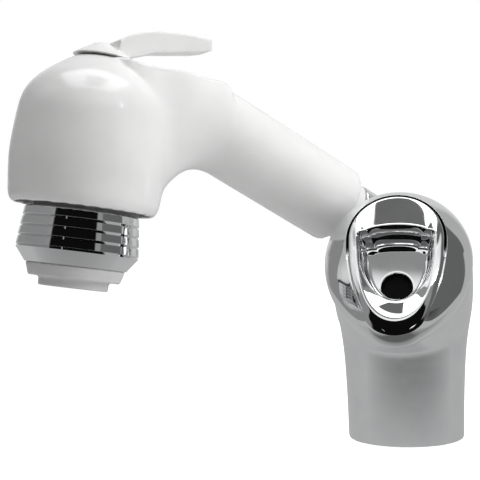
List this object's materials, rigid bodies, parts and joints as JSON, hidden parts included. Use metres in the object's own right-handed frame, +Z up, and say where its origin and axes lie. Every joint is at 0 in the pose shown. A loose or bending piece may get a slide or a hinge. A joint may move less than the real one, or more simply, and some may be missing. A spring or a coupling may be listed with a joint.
{
  "type": "shower mixer tap",
  "caption": "Deck-mounted single-lever basin mixer with a white pull-out shower handset docked on a sloping holder, a chrome loop lever and a stream selector on the handset head.",
  "frame": {"origin": "Centre of the pedestal underside, at the mouth of the deck socket.", "axes": "+Z up; the handset reaches out along -X; the lever faces between -X and -Y."},
  "size_m": [0.1905, 0.1004, 0.1663],
  "materials": {
    "chrome": "polished",
    "white_plastic": "glossy",
    "ivory_plastic": "matte",
    "grey_plastic": "matte",
    "black_plastic": "matte",
    "brass": "machined",
    "steel": "machined",
    "alumina": "lapped",
    "black_rubber": "matte"
  },
  "bodies": {
    "body": {"mixer_body": "chrome", "base_seal": "black_rubber", "deck_fixing_screw": "steel", "hot_inlet": "brass", "cold_inlet": "brass", "mixed_outlet": "brass", "cartridge_base": "ivory_plastic", "port_seals": "black_rubber", "cartridge_housing": "ivory_plastic", "fixed_ceramic_disc": "alumina", "cartridge_nut": "brass", "bezel_ring": "chrome", "holder_bush": "grey_plastic"},
    "turret": {"lever_turret": "ivory_plastic", "pivot_pin": "steel"},
    "lever": {"lever_stem": "steel", "loop_lever": "chrome", "lever_insert": "black_plastic", "insert_screws": "steel"},
    "mixing_disc": {"disc_carrier": "ivory_plastic", "moving_ceramic_disc": "alumina"},
    "handset": {"handset_shell": "white_plastic", "tail_pipe": "brass", "tail_nut": "white_plastic", "waterway_tube": "grey_plastic", "valve_body": "grey_plastic", "chrome_ring": "chrome", "spray_face": "white_plastic", "aerator": "grey_plastic", "face_seal": "black_rubber", "spindle_seal": "black_rubber"},
    "selector": {"selector_lever": "white_plastic", "selector_spindle": "brass", "selector_screw": "steel", "diverter_disc": "grey_plastic"}
  },
  "joints": [
    {"name": "lever_turn", "type": "hinge", "parent": "body", "child": "turret", "pos_m": [-0.01297, -0.01613, 0.0692], "axis": [-0.4938, -0.6141, 0.6157], "range_deg": [-40, 40]},
    {"name": "lever_tilt", "type": "hinge", "parent": "turret", "child": "lever", "pos_m": [-0.01297, -0.01613, 0.0692], "axis": [-0.7793, 0.6266, 0], "range_deg": [0, 22]},
    {"name": "disc_slide", "type": "slide", "parent": "turret", "child": "mixing_disc", "axis": [-0.3858, -0.4798, -0.788], "range_m": [0, 0.0037]},
    {"name": "handset_pull", "type": "slide", "parent": "body", "child": "handset", "axis": [-0.8746, 0, 0.4848], "range_m": [0, 0.028]},
    {"name": "selector_turn", "type": "hinge", "parent": "handset", "child": "selector", "pos_m": [-0.12499, 0.018, 0.15536], "axis": [0.1564, 0, 0.9877], "range_deg": [-60, 60]}
  ],
  "couplings": [
    {"joint": "disc_slide", "follows": "lever_tilt", "m_per_rad": 0.0096}
  ]
}
